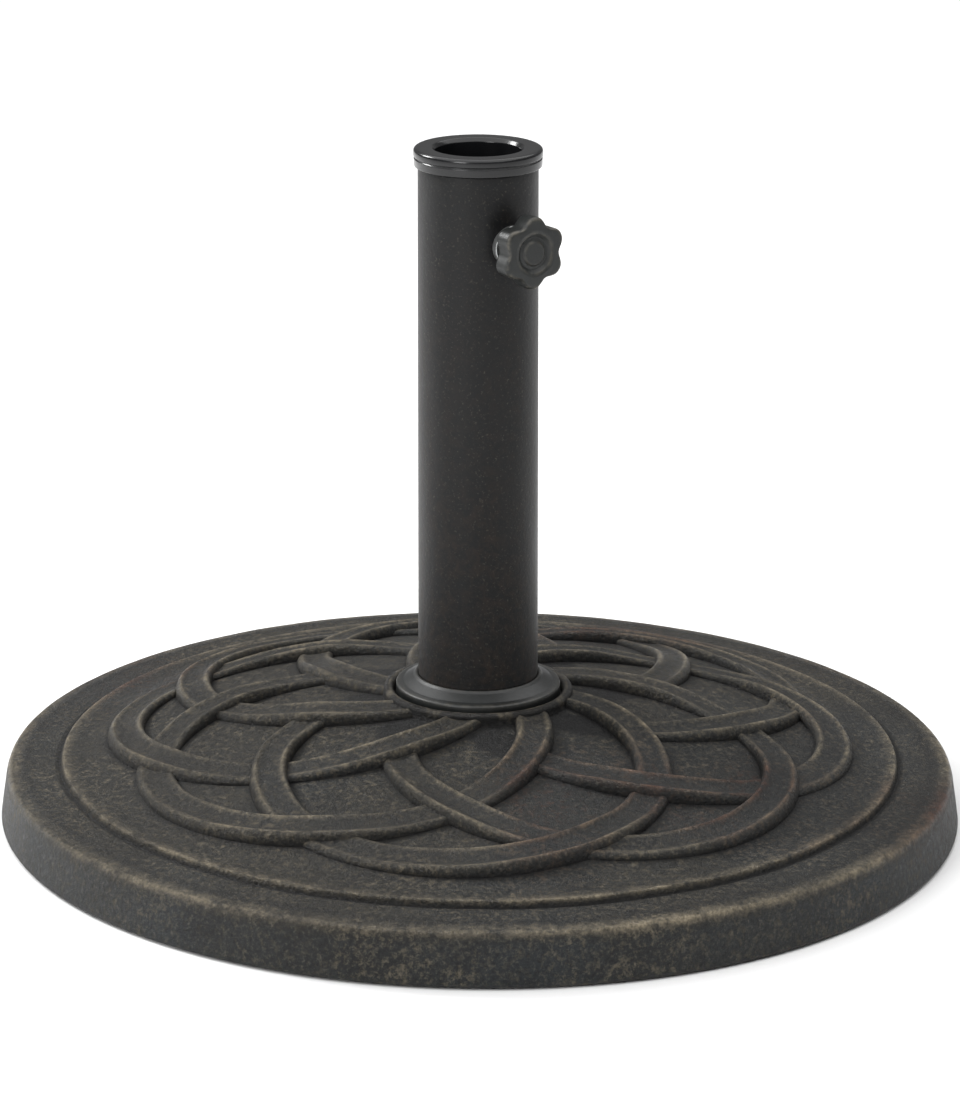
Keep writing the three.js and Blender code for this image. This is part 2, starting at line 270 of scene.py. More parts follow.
def thread(pitch, low, high, core):
    """Cuts a right-hand thread between two heights: the radius drops by 0.61 of the pitch along a triangle
    wave of height over pitch minus the turn, and the cut fades in over one pitch at both ends. Points
    nearer the axis than core are left."""

    def shape(r, a, z):
        phase = np.mod(z / pitch - a / (2 * math.pi), 1.0)
        groove = np.clip(1.25 * np.abs(2 * phase - 1) - 0.1, 0, 1)
        fade = np.clip((z - low) / pitch, 0, 1) * np.clip((high - z) / pitch, 0, 1)
        depth = 0.61 * pitch * groove * fade
        return np.where(r > core, r - depth, r), z

    return shape


def clamp_place(points):
    """Carries points from the clamp's own axes, +Z outwards along the screw and +X down, into the frame."""
    outward = Vector(KNOB_JOINT["axis"]).normalized()
    across = Vector((-outward.y, outward.x, 0))
    down = across.cross(outward)
    height = KNOB_JOINT["pos_m"][2] / MM
    turn = np.array([down, across, outward])
    return points @ turn + np.array([0, 0, height])


def settle(piece, finish, slot, *nodes):
    """Gives a finished piece its material and its body, and hides the CAD nodes that it stands for. The slot
    is not used.
    """
    piece.data.materials.clear()
    piece.data.materials.append(finish)
    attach(piece, BODY_OF[nodes[0]])
    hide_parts(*nodes)
    return piece


# ---------------------------------------------------------------------------------------------
# Finishes
# ---------------------------------------------------------------------------------------------
class Finish:
    """A material whose nodes are added one by one. An input may be a value or another node's output."""

    def __init__(self, name):
        self.material = bpy.data.materials.new(name)
        self.material.use_nodes = True
        self.tree = self.material.node_tree
        self.shader = self.tree.nodes["Principled BSDF"]

    def put(self, socket, value):
        if isinstance(value, bpy.types.NodeSocket):
            self.tree.links.new(value, socket)
        elif isinstance(value, tuple) and len(value) == 3 and socket.type == "RGBA":
            socket.default_value = (*value, 1.0)
        else:
            socket.default_value = value

    def node(self, kind, inputs=None, **settings):
        node = self.tree.nodes.new("ShaderNode" + kind)
        for key, value in settings.items():
            setattr(node, key, value)
        for key, value in (inputs or {}).items():
            self.put(node.inputs[key], value)
        return node

    def where(self):
        return self.node("TexCoord").outputs["Object"]

    def noise(self, scale, detail=4.0, roughness=0.6, distortion=0.0, stretch=None):
        """Noise between 0 and 1 on the piece's own coordinates, with scale in cycles a metre."""
        vector = self.where()
        if stretch:
            vector = self.node("Mapping", {"Vector": vector, "Scale": stretch}).outputs["Vector"]
        inputs = {
            "Vector": vector,
            "Scale": scale,
            "Detail": detail,
            "Roughness": roughness,
            "Distortion": distortion,
        }
        return self.node("TexNoise", inputs).outputs["Fac"]

    def cells(self, scale):
        """Distance to the nearest of scattered points, with scale in cells a metre."""
        inputs = {"Vector": self.where(), "Scale": scale}
        return self.node("TexVoronoi", inputs).outputs["Distance"]

    def mark(self, name):
        return self.node("Attribute", attribute_name=name).outputs["Fac"]

    def span(self, value, low, high, to_low=0.0, to_high=1.0):
        """Value carried from one range to another and held inside it."""
        inputs = {"Value": value, "From Min": low, "From Max": high, "To Min": to_low, "To Max": to_high}
        return self.node("MapRange", inputs).outputs["Result"]

    def sum(self, operation, first, second):
        node = self.node("Math", operation=operation)
        self.put(node.inputs[0], first)
        self.put(node.inputs[1], second)
        return node.outputs[0]

    def mix(self, share, first, second):
        node = self.node("Mix", data_type="RGBA", clamp_factor=True)
        self.put(node.inputs["Factor"], share)
        self.put([s for s in node.inputs if s.name == "A" and s.type == "RGBA"][0], first)
        self.put([s for s in node.inputs if s.name == "B" and s.type == "RGBA"][0], second)
        return [s for s in node.outputs if s.type == "RGBA"][0]

    def bump(self, height, distance, strength=1.0):
        inputs = {"Height": height, "Distance": distance * MM, "Strength": strength}
        return self.node("Bump", inputs).outputs["Normal"]

    def done(self, colour, roughness, normal, metallic=0.0, specular=0.5):
        self.put(self.shader.inputs["Base Color"], colour)
        self.put(self.shader.inputs["Roughness"], roughness)
        self.put(self.shader.inputs["Normal"], normal)
        self.shader.inputs["Metallic"].default_value = metallic
        self.shader.inputs["Specular IOR Level"].default_value = specular
        return self.material


def tint(name):
    return tuple(getattr(bpy.context.scene.parasol_finishes, name))


def made_once(make):
    """A finish's material is made the first time it is asked for, and found by its name after that."""

    def found(name, *settings):
        return bpy.data.materials.get(name) or make(name, *settings)

    return found


@made_once
def cast_finish(name):
    """Cast resin stone: a dark ground in warm and cool patches, cooler on the wall, with dark pits and pale
    grains, painted shade in the hollows and at the band feet where the shade mark is high, and bronze rubbed
    on where the mark rub is high."""
    f = Finish(name)
    height = f.node("SeparateXYZ", {"Vector": f.where()}).outputs["Z"]
    patches = f.span(f.noise(9.0, 3.0, 0.6), 0.42, 0.62)
    wall = f.span(height, 0.018, 0.023, 0.55, 0.0)
    grain = f.noise(520.0, 6.0, 0.78)
    fine = f.noise(1400.0, 3.0, 0.7)
    speckle = f.noise(300.0, 5.0, 0.75)
    blotch = f.noise(42.0, 5.0, 0.7)
    ground = f.mix(f.sum("ADD", f.sum("MULTIPLY", patches, 0.5), wall), tint("cast"), tint("cast_cool"))
    ground = f.mix(f.span(blotch, 0.34, 0.52, 0.55, 0.0), ground, tint("cast_dark"))
    ground = f.mix(f.span(grain, 0.36, 0.50, 0.85, 0.0), ground, tint("cast_dark"))
    ground = f.mix(f.span(grain, 0.54, 0.68, 0.0, 0.75), ground, tint("cast_pale"))
    rubbed = f.mix(f.span(f.noise(5.5, 2.0), 0.56, 0.66), tint("bronze"), tint("rust"))
    dust = f.sum("MULTIPLY", f.span(speckle, 0.50, 0.70), f.span(f.noise(24.0, 3.0), 0.35, 0.7, 0.10, 0.50))
    ground = f.mix(dust, ground, rubbed)
    edge = f.sum("MULTIPLY", f.mark("rub"), f.span(f.noise(110.0, 4.0, 0.7), 0.34, 0.62, 0.05, 1.0))
    edge = f.sum("MULTIPLY", edge, f.span(grain, 0.34, 0.58, 0.25, 1.0))
    edge = f.sum("MULTIPLY", edge, f.span(f.noise(6.0, 2.0), 0.38, 0.62, 0.35, 1.0))
    paint = f.mix(edge, ground, rubbed)
    # Painted shade: the shade mark darkens grooves and band feet towards the dark colour.
    paint = f.mix(f.sum("MULTIPLY", f.mark("grime"), 0.9), paint, tint("cast_dark"))
    pits = f.span(f.cells(380.0), 0.0, 0.45)
    relief = f.sum("ADD", f.sum("MULTIPLY", grain, 1.2), f.sum("MULTIPLY", pits, 0.35))
    relief = f.sum("ADD", relief, f.sum("MULTIPLY", fine, 0.40))
    normal = f.bump(relief, 0.95, 1.0)
    polish = f.sum("MULTIPLY", f.mark("rub"), 0.12)
    roughness = f.span(f.sum("SUBTRACT", speckle, polish), 0.3, 0.7, 0.36, 0.68)
    return f.done(paint, roughness, normal, metallic=0.2, specular=0.4)


@made_once
def coat_finish(name):
    """Powder coat: charcoal with brown mottling that thickens downwards, a fine orange-peel surface and faint
    upright streaks."""
    f = Finish(name)
    height = f.node("SeparateXYZ", {"Vector": f.where()}).outputs["Z"]
    mottle = f.noise(190.0, 5.0, 0.7, 0.8)
    streak = f.noise(60.0, 4.0, 0.6, 0.2, (1.0, 1.0, 0.18))
    warmth = f.sum("MULTIPLY", f.span(mottle, 0.42, 0.62), f.span(height, 0.30, 0.10, 0.20, 0.95))
    warmth = f.sum("MULTIPLY", warmth, f.span(streak, 0.35, 0.65, 0.35, 1.0))
    paint = f.mix(warmth, tint("coat"), tint("coat_warm"))
    paint = f.mix(f.span(f.noise(900.0, 2.0, 0.6), 0.60, 0.74, 0.0, 0.35), paint, tint("cast_pale"))
    peel = f.noise(420.0, 2.0, 0.55)
    normal = f.bump(f.sum("ADD", peel, f.sum("MULTIPLY", mottle, 0.8)), 0.16, 0.7)
    roughness = f.span(f.sum("ADD", streak, f.sum("MULTIPLY", mottle, 0.5)), 0.5, 1.0, 0.38, 0.50)
    return f.done(paint, roughness, normal, metallic=0.0, specular=0.28)


@made_once
def plastic_finish(name, colour, rough, grain, depth, worn=0.0):
    """Moulded plastic: a little cloudiness in colour and gloss, a moulded grain, and paler rubbed edges
    where the mark rub is high."""
    f = Finish(name)
    cloud = f.noise(55.0, 4.0, 0.6)
    base = tint(colour)
    paint = f.mix(f.span(cloud, 0.3, 0.7), tuple(0.75 * c for c in base), tuple(1.3 * c for c in base))
    if worn:
        edge = f.sum("MULTIPLY", f.mark("rub"), f.span(f.noise(330.0, 3.0), 0.35, 0.62))
        paint = f.mix(f.sum("MULTIPLY", edge, worn), paint, tint("cast_pale"))
    texture = f.noise(grain, 3.0, 0.55)
    normal = f.bump(texture, depth, 0.8)
    matt = f.sum("ADD", cloud, f.sum("MULTIPLY", texture, 0.4))
    roughness = f.span(matt, 0.45, 0.95, rough * 0.82, rough * 1.25)
    return f.done(paint, roughness, normal, specular=0.5)


@made_once
def zinc_finish(name):
    """Zinc plating: faint patches of colour, fine turned scratches and small dull spots."""
    f = Finish(name)
    base = tint("zinc")
    patch = f.noise(140.0, 4.0, 0.6)
    paint = f.mix(f.span(patch, 0.35, 0.7), base, (base[0] * 0.72, base[1] * 0.72, base[2] * 0.66))
    paint = f.mix(f.span(f.noise(700.0, 3.0), 0.58, 0.72, 0.0, 0.5), paint, (0.18, 0.17, 0.15))
    scratch = f.noise(900.0, 2.0, 0.5, 0.0, (1.0, 1.0, 6.0))
    normal = f.bump(scratch, 0.05, 0.5)
    return f.done(paint, f.span(patch, 0.3, 0.7, 0.28, 0.48), normal, metallic=0.95)


@made_once
def rubber_finish(name):
    """Rubber: nearly black, with grey dust and a soft grain."""
    f = Finish(name)
    dust = f.noise(260.0, 5.0, 0.7)
    paint = f.mix(f.span(dust, 0.5, 0.8, 0.0, 0.6), tint("rubber"), (0.06, 0.058, 0.055))
    return f.done(paint, f.span(dust, 0.3, 0.7, 0.72, 0.9), f.bump(f.noise(700.0), 0.12, 0.8), specular=0.3)


@made_once
def floor_finish(name):
    """Pale floor: an even matte white, faintly clouded."""
    f = Finish(name)
    paint = f.mix(f.noise(3.0, 2.0), (0.86, 0.86, 0.86), (0.9, 0.9, 0.9))
    roughness = f.span(f.noise(40.0), 0.3, 0.7, 0.6, 0.75)
    return f.done(paint, roughness, f.bump(f.noise(300.0), 0.05, 0.2), specular=0.2)


# ---------------------------------------------------------------------------------------------
# Slab
# ---------------------------------------------------------------------------------------------
def dome_height(r, slab):
    """Height of the domed field at distance r from the axis: it falls with r to the power 1.5."""
    return slab.dome_top - slab.dome_fall * (r / slab.field_edge) ** 1.5


def band_distance(x, y, rings):
    """Distance from a point to the nearest ring's centreline: the gap between its distance from that ring's
    centre and the ring's radius."""
    turn = rings.turn + 2 * math.pi * np.arange(rings.count) / rings.count
    middles = [(rings.offset * math.cos(t), rings.offset * math.sin(t)) for t in turn]
    return np.min([np.abs(np.hypot(x - mx, y - my) - rings.radius) for mx, my in middles], axis=0)


def near_line(r, z, places):
    """How close a point of the outline is to the nearest of some places (r, z, spread, strength), 1 at the
    place."""
    closeness = [
        strength * np.exp(-((r - near_r) ** 2 + (z - near_z) ** 2) / spread ** 2)
        for near_r, near_z, spread, strength in places
    ]
    return np.max(closeness, axis=0)


def slab_line(slab):
    """The slab's outline, anticlockwise from the bolt's hole: underside, foot ring, tapered wall, shoulder,
    outer band, step, domed field, lip, and the seat and socket of the tube."""
    socket, hole = reach("socket_tube", 0) + 0.5, 7.0
    counterbore, counterbore_top = 21.5, 16.0
    recess_edge, ring_inner = 194.0, 200.0
    seat = foot("cover_ring", 2) - 0.3
    low = foot("tube_foot_plate", 2) - 0.3
    rim = outline(
        [
            (hole, counterbore_top, 0.5), (counterbore, counterbore_top, 1.0),
            (counterbore, slab.recess, 1.0), (recess_edge, slab.recess, 4.0),
            (ring_inner, slab.foot_lift, 1.5), (slab.radius, slab.foot_lift, 1.6),
            (slab.radius - 2.6, slab.wall_top, 10.0),
            (slab.radius - 3.9, slab.outer_band - 1.0, 3.0), (slab.radius - 11.5, slab.outer_band, 5.0),
            (slab.step + 3.8, slab.outer_band + 0.5, 1.6), (slab.step + 1.4, slab.outer_band - 0.3, 0.7),
            (slab.step, slab.step_top + 0.3, 1.6),
            (slab.field_edge + 4.0, dome_height(slab.field_edge + 2.0, slab), 8.0),
            (slab.field_edge - 1.2, dome_height(slab.field_edge - 1.2, slab)),
        ],
        closed=False, step=1.6,
    )
    inner = slab.lip_mid + slab.lip_half
    r = np.linspace(slab.field_edge - 2.4, inner + 1.0, 92)
    field = np.stack([r, dome_height(r, slab)], -1)
    lip = outline(
        [
            (inner + 0.4, dome_height(inner, slab)), (inner, seat + 0.6, 0.6), (inner, slab.lip_top, 2.2),
            (inner - 2 * slab.lip_half, slab.lip_top, 2.2), (inner - 5.5, seat, 0.5), (socket, seat, 0.5),
            (socket, low, 0.5), (hole, low),
        ],
        closed=False, step=1.6,
    )
    return np.concatenate([rim, field, lip])


def slab_marks(slab, rings):
    """rub is high on the outline's edges. The other mark is painted shade, high in the outline's grooves and
    along the feet of the bands.
    """
    shoulder, lip_foot = slab.radius - 4.4, slab.lip_mid + slab.lip_half
    lip_foot_height, seat_height = 56.0, 57.0
    edges = [
        (shoulder, slab.outer_band - 1.7, 2.0, 1.0), (shoulder - 3.0, slab.outer_band - 0.2, 2.0, 0.4),
        (slab.step - 0.5, slab.step_top - 0.1, 1.3, 1.0), (slab.step - 2.2, slab.step_top + 0.3, 2.0, 0.4),
        (slab.lip_mid + 0.8, slab.lip_top, 1.6, 1.0),
    ]
    # Grooves where painted shade darkens the slab.
    grooves = [
        (slab.step + 1.4, slab.outer_band - 0.3, 1.9, 1.0), (shoulder - 8.0, slab.outer_band, 3.0, 0.45),
        (lip_foot + 0.8, lip_foot_height, 2.2, 1.0),
        (slab.lip_mid - slab.lip_half - 0.8, seat_height, 2.4, 1.0),
    ]

    def mark(r, a, z):
        beside = band_distance(r * np.cos(a), r * np.sin(a), rings) - rings.half_width
        inside = (r < slab.field_edge) & (r > slab.lip_mid)
        # Painted shade on the field along the feet of the bands, fading over about two millimetres.
        foot_shade = np.where(inside, np.exp(-np.clip(beside, 0, None) / 2.0), 0.0)
        return {"rub": near_line(r, z, edges), "grime": np.maximum(near_line(r, z, grooves), foot_shade)}

    return mark


def uneven(amount):
    """The slight waviness of a casting: each point's height and radius shift by sums of sines of its place,
    which vanish at the widest radius and at the ground."""

    def shape(r, a, z):
        x, y = r * np.cos(a), r * np.sin(a)
        wave = np.sin(x / 19.0 + 1.3 * np.sin(y / 31.0)) * np.sin(y / 23.0 + 1.1 * np.sin(x / 27.0))
        wave = wave + 0.5 * np.sin(x / 7.3 + y / 11.0) * np.sin(y / 8.1 - x / 13.0)
        share = np.clip((z - 10.0) / 8.0, 0, 1) * np.clip((r - 40.0) / 6.0, 0, 1)
        return r - amount * share * (0.6 + 0.4 * wave), z + amount * share * wave * 0.6

    return shape


def build_slab():
    """The cast slab: its outline turned about the tube's axis, made slightly uneven."""
    scene = bpy.context.scene
    slab, rings = sizes(scene.parasol_slab), sizes(scene.parasol_rings)
    piece = lathe(
        "slab_body", slab_line(slab), slab.around, shape=uneven(0.25), mark=slab_marks(slab, rings),
        sharp=math.radians(50),
    )
    settle(piece, cast_finish("cast_bronze"), "cast_slab", "base_slab")


def crossing_angle(apart, rings, across=0.0):
    """The angle round a ring, from its outermost point, at which a line that runs a distance across outside
    its centreline meets the centreline of the ring whose centre stands an angle apart round the tube. Law
    of cosines."""
    between = 2 * rings.offset * math.sin(apart / 2)
    line = rings.radius + across
    swing = np.arccos((line ** 2 + between ** 2 - rings.radius ** 2) / (2 * line * between))
    return (math.pi + apart) / 2 - swing


def band_path(rings, slab, across):
    """Angles round a ring, one column for each distance across: from the lip, by way of the ring's
    outermost point, to its last crossing, where the band ends under the next one. Both ends are cut along
    the ring they meet."""
    spacing = 2 * math.pi / rings.count
    line = rings.radius + across
    lip = slab.lip_mid - 0.5
    start = np.arccos((lip ** 2 - rings.offset ** 2 - line ** 2) / (2 * rings.offset * line))
    end = -crossing_angle(3 * spacing, rings, across)
    rows = int(rings.radius * (start.max() - end.min()) / rings.step)
    return start + (end - start) * np.linspace(0, 1, rows)[:, None]


def band_weave(angle, rings):
    """The weave's height, from +1 where the band passes over another to -1 where it passes under: a cosine
    that changes sign from each crossing to the next, and falls towards the lip."""
    spacing = 2 * math.pi / rings.count
    outward = [float(crossing_angle(n * spacing, rings)) for n in (3, 2, 1)]
    crossings = np.array(outward + [-a for a in reversed(outward)])
    order = np.interp(-angle, -crossings, np.arange(len(crossings)))
    inside = (crossings[0] - angle) / (crossings[0] - crossings[1])
    return np.cos(math.pi * np.where(angle > crossings[0], inside, order))


def band_section(rings):
    """The band's section as (distance across, share of its height, share of the trough, rub, painted shade),
    closed: up one rounded side, over a bead, down into the trough, and the same in mirror image, then back
    underneath. The trough is nearly flat in its middle and steep beside the beads: one less the cube of the
    distance over the bead's."""
    side = np.linspace(0, math.pi / 2, 9)
    across = np.linspace(rings.crest, 0, 11)[1:]
    half_across = np.concatenate([rings.crest + (rings.half_width - rings.crest) * np.cos(side), across])
    half_share = np.concatenate([np.sin(side), np.ones(len(across))])
    trough = np.where(half_across < rings.crest, 1 - (half_across / rings.crest) ** 3, 0)
    from_crest = half_across - rings.crest
    rub = np.where(from_crest > 0, np.exp(-(from_crest / 1.3) ** 2), np.exp(-(from_crest / 1.1) ** 2))
    # Painted shade: darkest low on the band's sides and underneath, and a little in the trough.
    grime = np.clip(1 - half_share * 1.5, 0, 1) + 0.25 * trough
    half = np.stack([half_across, half_share, trough, rub, grime], -1)
    mirror = half[::-1][1:] * np.array([-1, 1, 1, 1, 1])
    below = np.array([[-rings.half_width, -1.0, 0, 0, 1], [rings.half_width, -1.0, 0, 0, 1]])
    return np.concatenate([half, mirror, below])


def build_band(number, rings, slab):
    """One interlaced band: at each angle of its path the section stands across the ring, its height share
    raised over the domed field by the beads' height there. The trough is shallower where the band passes
    under another."""
    across, share, trough, rub, grime = band_section(rings).T
    angle = band_path(rings, slab, across)
    weave = band_weave(angle, rings)
    turn = rings.turn + 2 * math.pi * number / rings.count
    x = rings.offset + (rings.radius + across) * np.cos(angle)
    y = (rings.radius + across) * np.sin(angle)
    height = rings.rise + rings.weave * weave
    hollow = rings.trough * trough * (0.65 + 0.35 * weave)
    z = dome_height(np.hypot(x, y), slab) + np.where(share >= 0, share * height, share * 2.0) - hollow
    wave = np.sin(x / 9.0 + y / 17.0 + number) * np.sin(y / 12.0 - x / 21.0)
    z = z + 0.22 * wave * np.clip(share, 0, 1)
    grid = np.stack([x * math.cos(turn) - y * math.sin(turn), x * math.sin(turn) + y * math.cos(turn), z], -1)
    caps = [grid[0].mean(0), grid[-1].mean(0)]
    # The second mark is painted shade, read by the slab's finish.
    marks = {"rub": rub * (0.70 + 0.30 * weave), "grime": np.broadcast_to(grime, z.shape)}
    piece = skin(f"relief_band_{number + 1}", grid, caps, marks, sharp=math.radians(60))
    settle(piece, cast_finish("cast_bronze"), "cast_slab", "base_slab")


# ---------------------------------------------------------------------------------------------
# Feet, tube and fixing
# ---------------------------------------------------------------------------------------------
def build_foot(number):
    """A low rubber pad with a rounded edge and a shallow ring moulded in its underside."""
    node = f"rubber_foot_{number}"
    low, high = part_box(node)
    radius = (high.x - low.x) / 2 / MM
    centre = np.array([(low.x + high.x) / 2, (low.y + high.y) / 2, 0]) / MM
    top = high.z / MM
    line = outline(
        [
            (0, 0.35), (4.2, 0.35, 0.3), (5.0, 0, 0.3), (radius - 0.1, 0, 0.7), (radius, top, 0.3), (0, top),
        ],
        closed=False, step=1.2,
    )
    piece = lathe(f"foot_pad_{number}", line, 64, place=lambda points: points + centre)
    settle(piece, rubber_finish("black_rubber"), "foot_rubber", node)


def build_tube(tube):
    """The tube: a round wall with softly broken ends and a hole for the threaded insert."""
    low, high = foot("socket_tube", 2), reach("socket_tube", 2)
    inner = tube.outer - tube.wall
    line = outline(
        [(inner, low, 0.3), (tube.outer, low, 0.3), (tube.outer, high, 0.4), (inner, high, 0.4)], step=4.0,
    )
    piece = lathe("tube_wall", line, 256)
    hole, near, far = 7.05, 10.0, 40.0
    drill_line = outline([(0, near), (hole, near), (hole, far), (0, far)], closed=False, step=5.0)
    drill = lathe("drill", drill_line, 64, place=clamp_place)
    cut = piece.modifiers.new("Hole", "BOOLEAN")
    cut.operation = "DIFFERENCE"
    cut.solver = "EXACT"
    cut.object = drill
    bpy.context.view_layer.update()
    bored = bpy.data.meshes.new_from_object(piece.evaluated_get(bpy.context.evaluated_depsgraph_get()))
    piece.modifiers.clear()
    piece.data = bored
    bored.name = "tube_wall"
    bpy.data.objects.remove(drill)
    settle(piece, coat_finish("charcoal_coat"), "coated_steel", "socket_tube")


def build_plate(tube):
    """The disc in the tube's foot, with a bevel round its upper edge and a shallow pocket for the nut."""
    low, high = foot("tube_foot_plate", 2), reach("tube_foot_plate", 2)
    radius = reach("tube_foot_plate", 0)
    hole = tube.bolt + 0.3
    pocket, pocket_floor, pocket_depth = 12.2, 12.0, 0.5
    line = outline(
        [
            (hole, low, 0.3), (radius, low, 0.3), (radius, high - 0.9, 0.3), (radius - 1.4, high, 0.5),
            (pocket, high, 0.2), (pocket_floor, high - pocket_depth, 0.1), (hole, high - pocket_depth, 0.1),
        ],
        step=2.0,
    )
    settle(lathe("foot_plate_disc", line, 128), zinc_finish("zinc_plating"), "zinc_steel", "tube_foot_plate")


def build_nut(tube):
    """A hexagon nut with both faces chamfered to a circle."""
    low, high = foot("weld_nut", 2), reach("weld_nut", 2)
    across = reach("weld_nut", 0) - foot("weld_nut", 0)
    corner = across / math.sqrt(3)
    hole = tube.bolt + 0.3
    line = outline(
        [
            (hole, low + 0.5), (hole + 0.5, low), (across / 2, low), (corner, low + 0.8),
            (corner, high - 0.8), (across / 2, high), (hole + 0.5, high), (hole, high - 0.5),
        ],
        step=0.6,
    )
    piece = lathe("nut_body", line, 192, shape=hexagon(across), sharp=math.radians(20))
    settle(piece, zinc_finish("zinc_plating"), "zinc_steel", "weld_nut")


def build_bolt(tube):
    """A hexagon bolt, head down, its head chamfered to a circle and its shank threaded where it meets the
    nut."""
    low, high = foot("fixing_bolt", 2), reach("fixing_bolt", 2)
    across = reach("fixing_bolt", 0) - foot("fixing_bolt", 0)
    corner = across / math.sqrt(3)
    head_height, core = 7.5, 4.0
    head = low + head_height
    threaded = foot("weld_nut", 2) - 2.0
    line = outline(
        [
            (0, low), (across / 2 - 1.0, low, 0.2), (corner, low + 1.2), (corner, head - 0.4, 0.2),
            (across / 2 - 0.3, head, 0.2), (tube.bolt, head, 0.3), (tube.bolt, high - 1.0, 0.2),
            (tube.bolt - 1.0, high), (0, high),
        ],
        closed=False, step=0.22,
    )
    cut_hexagon, cut_thread = hexagon(across), thread(tube.bolt_pitch, threaded, high + 1.0, core)

    def shape(r, a, z):
        round_head = cut_hexagon(r, a, z)[0]
        shank = cut_thread(r, a, z)[0]
        return np.where(z > head + 0.5, shank, round_head), z

    piece = lathe("bolt_body", line, 96, shape=shape, sharp=math.radians(25))
    settle(piece, zinc_finish("zinc_plating"), "zinc_steel", "fixing_bolt")


def build_washers(tube):
    """A flat washer with rounded edges, and a split spring washer whose ends stand a little apart and
    askew."""
    low, high, radius = foot("flat_washer", 2), reach("flat_washer", 2), reach("flat_washer", 0)
    hole = tube.bolt + 0.3
    line = outline([(hole, low, 0.4), (radius, low, 0.5), (radius, high, 0.7), (hole, high, 0.4)], step=1.5)
    settle(lathe("washer_disc", line, 128), zinc_finish("zinc_plating"), "zinc_steel", "flat_washer")
    low, high, radius = foot("spring_washer", 2), reach("spring_washer", 2), -foot("spring_washer", 0)
    rise = 0.35
    half_gap = 0.09
    top = high - rise
    section = outline([(hole, low, 0.3), (radius, low, 0.3), (radius, top, 0.3), (hole, top, 0.3)], step=0.8)
    a = np.linspace(half_gap, 2 * math.pi - half_gap, 120)[:, None]
    r = section[:, 0]
    z = section[:, 1] + rise * a / (2 * math.pi)
    grid = np.stack([r * np.cos(a), r * np.sin(a), z], -1)
    piece = skin("washer_coil", grid, [grid[0].mean(0), grid[-1].mean(0)])
    settle(piece, zinc_finish("zinc_plating"), "zinc_steel", "spring_washer")


# ---------------------------------------------------------------------------------------------
# Cover ring and collar
# ---------------------------------------------------------------------------------------------
def build_cover():
    """The conical ring round the tube's foot, with a rolled outer edge and a small upright hub."""
    inner = reach("socket_tube", 0) + 0.25
    outer, low, high = reach("cover_ring", 0), foot("cover_ring", 2), reach("cover_ring", 2)
    edge_top, cone_foot = 62.7, 63.4
    line = outline(
        [
            (inner, low, 0.3), (outer, low, 0.4), (outer, edge_top, 1.2), (outer - 3.4, cone_foot, 1.5),
            (inner + 2.2, high - 1.1, 1.4), (inner + 1.1, high, 0.5), (inner, high, 0.4),
        ],
        step=1.2,
    )
    edges = [(outer - 0.8, edge_top - 0.2, 1.2, 0.8), (inner + 0.8, high, 0.9, 0.6)]
    piece = lathe("cover_cone", line, 256, mark=lambda r, a, z: {"rub": near_line(r, z, edges)})
    finish = plastic_finish("moulded_cover", "cover", 0.42, 520.0, 0.05, 0.35)
    settle(piece, finish, "cover_plastic", "cover_ring")


def build_collar(tube):
    """The collar: a flange of a rounded bead over a plain band, with a fine groove between, and a long
    sleeve inside the tube."""
    low, high, flange = foot("top_collar", 2), reach("top_collar", 2), reach("top_collar", 0)
    sleeve = tube.outer - tube.wall - 0.25
    under = reach("socket_tube", 2) + 0.3
    bore = 20.5
    line = outline(
        [
            (bore, low, 0.6), (sleeve - 1.0, low, 0.4), (sleeve, low + 2.5, 0.5), (sleeve, under, 0.1),
            (flange - 0.4, under, 0.4), (flange - 0.2, high - 4.9, 0.5), (flange - 0.8, high - 4.3, 0.3),
            (flange, high - 3.8, 0.6), (flange, high, 1.7), (bore + 1.4, high, 0.8), (bore, high - 1.8, 0.9),
        ],
        step=1.6,
    )
    finish = plastic_finish("moulded_collar", "black", 0.19, 240.0, 0.02)
    settle(lathe("collar_moulding", line, 256), finish, "collar_plastic", "top_collar")


# ---------------------------------------------------------------------------------------------
# Clamp
# ---------------------------------------------------------------------------------------------
def build_insert(tube):
    """A flanged threaded insert. The flange's inner face follows the tube: at distance y across, it lies at
    the root of the tube's radius squared less y squared."""
    body, flange, face, inner = 6.75, 10.0, 30.0, 23.5
    saddle, below_saddle = 28.0, 27.0
    hole = tube.screw + 0.25
    tube_face = tube.outer + 0.05
    line = outline(
        [
            (hole, inner, 0.2), (body, inner, 0.3), (body, below_saddle), (body, saddle),
            (flange, saddle), (flange, face, 0.5), (hole + 0.6, face), (hole, face - 0.6),
        ],
        step=0.5,
    )

    def shape(r, a, z):
        across = r * np.sin(a)
        follow = np.sqrt(tube_face ** 2 - across ** 2)
        seated = (np.abs(z - saddle) < 1e-6) & (r > body - 1e-6)
        edge = (r > flange - 1e-6) & (z < face - 0.5)
        share = np.clip((z - saddle) / (face - 0.5 - saddle), 0, 1)
        return r, np.where(seated, follow, np.where(edge, follow + (face - 0.5 - follow) * share, z))

    piece = lathe("insert_body", line, 128, shape=shape, place=clamp_place)
    settle(piece, zinc_finish("zinc_plating"), "zinc_steel", "threaded_insert")


